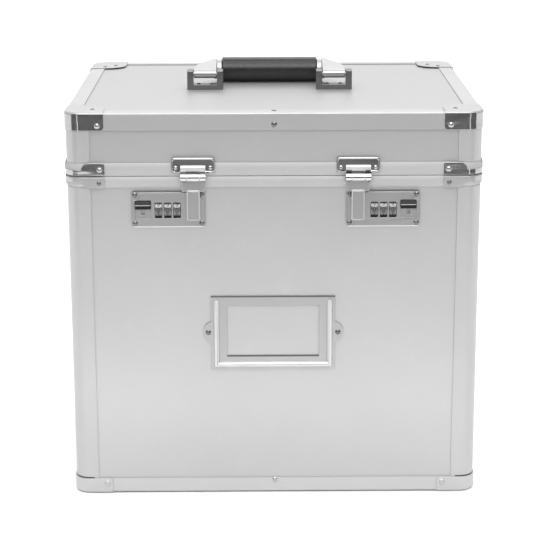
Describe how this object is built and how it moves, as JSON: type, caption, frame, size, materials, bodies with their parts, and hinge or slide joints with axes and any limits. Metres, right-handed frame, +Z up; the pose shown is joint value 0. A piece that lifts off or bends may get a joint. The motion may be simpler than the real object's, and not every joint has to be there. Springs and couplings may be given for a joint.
{
  "type": "drone carrying case",
  "caption": "Upright aluminium-framed hard case with a top-opening hinged lid, combination latches, folding lid handle, label holder and foam wells for a drone and its remote.",
  "frame": {"origin": "middle of the base, on the plane the case stands on", "axes": "+Z up; -Y towards the front with the latches; +X to the right seen from the front"},
  "size_m": [0.3602, 0.3111, 0.365],
  "materials": {
    "panels": "satin brushed skin on board",
    "frame_extrusion": "satin anodised",
    "corner_cap": "polished nickel plate",
    "rivet": "polished head",
    "label_holder": "satin nickel plate",
    "lock_plate": "satin nickel plate",
    "lock_case": "plain zinc-coated sheet",
    "bracket": "polished nickel plate",
    "hinge": "satin nickel plate",
    "bright_hardware": "polished nickel plate",
    "dial": "satin metal with dark numerals",
    "button": "black gloss",
    "grip": "black moulded, slightly ribbed",
    "foam": "charcoal open-cell foam"
  },
  "bodies": {
    "case_body": {"front_panel": "panels", "back_panel": "panels", "left_panel": "panels", "right_panel": "panels", "bottom_panel": "panels", "corner_posts": "frame_extrusion", "bottom_rim": "frame_extrusion", "body_rim": "frame_extrusion", "bottom_corner_caps": "corner_cap", "body_rim_caps": "corner_cap", "body_rivets": "rivet", "label_holder": "label_holder", "lock_plate_left": "lock_plate", "lock_plate_right": "lock_plate", "lock_case_left": "lock_case", "lock_case_right": "lock_case", "dial_axle_left": "bright_hardware", "dial_axle_right": "bright_hardware", "button_spring_left": "bright_hardware", "button_spring_right": "bright_hardware", "hinge_leaf_lower": "hinge", "hinge_pins": "bright_hardware", "foam_floor_pad": "foam", "foam_insert": "foam"},
    "lid": {"lid_top_panel": "panels", "lid_front_panel": "panels", "lid_back_panel": "panels", "lid_left_panel": "panels", "lid_right_panel": "panels", "lid_corner_posts": "frame_extrusion", "lid_top_rim": "frame_extrusion", "lid_lower_rim": "frame_extrusion", "lid_corner_caps": "corner_cap", "lid_rim_caps": "corner_cap", "lid_rivets": "rivet", "lid_foam": "foam", "keeper_left": "bright_hardware", "keeper_right": "bright_hardware", "latch_pins": "bright_hardware", "handle_bracket_left": "bracket", "handle_bracket_right": "bracket", "handle_pins": "bright_hardware", "hinge_leaf_upper": "hinge"},
    "handle": {"handle_arm_left": "bright_hardware", "handle_arm_right": "bright_hardware", "handle_core": "bright_hardware", "handle_grip": "grip"},
    "hasp_left": {"hasp_left": "bright_hardware"},
    "hasp_right": {"hasp_right": "bright_hardware"},
    "dial_left_1": {"dial_left_1": "dial"},
    "dial_left_2": {"dial_left_2": "dial"},
    "dial_left_3": {"dial_left_3": "dial"},
    "release_button_left": {"release_button_left": "button"},
    "dial_right_1": {"dial_right_1": "dial"},
    "dial_right_2": {"dial_right_2": "dial"},
    "dial_right_3": {"dial_right_3": "dial"},
    "release_button_right": {"release_button_right": "button"}
  },
  "joints": [
    {"name": "lid_hinge", "type": "hinge", "parent": "case_body", "child": "lid", "pos_m": [0, 0.15195, 0.2881], "axis": [-1, 0, 0], "range_deg": [0, 100]},
    {"name": "handle_fold", "type": "hinge", "parent": "lid", "child": "handle", "pos_m": [-0.003, -0.0149, 0.35545], "axis": [1, 0, 0], "range_deg": [0, 185.5]},
    {"name": "hasp_left_hinge", "type": "hinge", "parent": "lid", "child": "hasp_left", "pos_m": [-0.069, -0.15195, 0.2877], "axis": [-1, 0, 0], "range_deg": [0, 150]},
    {"name": "hasp_right_hinge", "type": "hinge", "parent": "lid", "child": "hasp_right", "pos_m": [0.0714, -0.15195, 0.2877], "axis": [-1, 0, 0], "range_deg": [0, 150]},
    {"name": "dial_left_1_spin", "type": "hinge", "parent": "case_body", "child": "dial_left_1", "pos_m": [-0.0989, -0.14185, 0.2587], "axis": [1, 0, 0], "continuous": true},
    {"name": "dial_left_2_spin", "type": "hinge", "parent": "case_body", "child": "dial_left_2", "pos_m": [-0.091, -0.14185, 0.2587], "axis": [1, 0, 0], "continuous": true},
    {"name": "dial_left_3_spin", "type": "hinge", "parent": "case_body", "child": "dial_left_3", "pos_m": [-0.0831, -0.14185, 0.2587], "axis": [1, 0, 0], "continuous": true},
    {"name": "button_left_slide", "type": "slide", "parent": "case_body", "child": "release_button_left", "axis": [0, 0, -1], "range_m": [0, 0.0055], "stiffness_N_per_m": 150, "springref_m": -0.004, "deforming": ["button_spring_left"]},
    {"name": "dial_right_1_spin", "type": "hinge", "parent": "case_body", "child": "dial_right_1", "pos_m": [0.1013, -0.14185, 0.2587], "axis": [1, 0, 0], "continuous": true},
    {"name": "dial_right_2_spin", "type": "hinge", "parent": "case_body", "child": "dial_right_2", "pos_m": [0.0934, -0.14185, 0.2587], "axis": [1, 0, 0], "continuous": true},
    {"name": "dial_right_3_spin", "type": "hinge", "parent": "case_body", "child": "dial_right_3", "pos_m": [0.0855, -0.14185, 0.2587], "axis": [1, 0, 0], "continuous": true},
    {"name": "button_right_slide", "type": "slide", "parent": "case_body", "child": "release_button_right", "axis": [0, 0, -1], "range_m": [0, 0.0055], "stiffness_N_per_m": 150, "springref_m": -0.004, "deforming": ["button_spring_right"]}
  ]
}
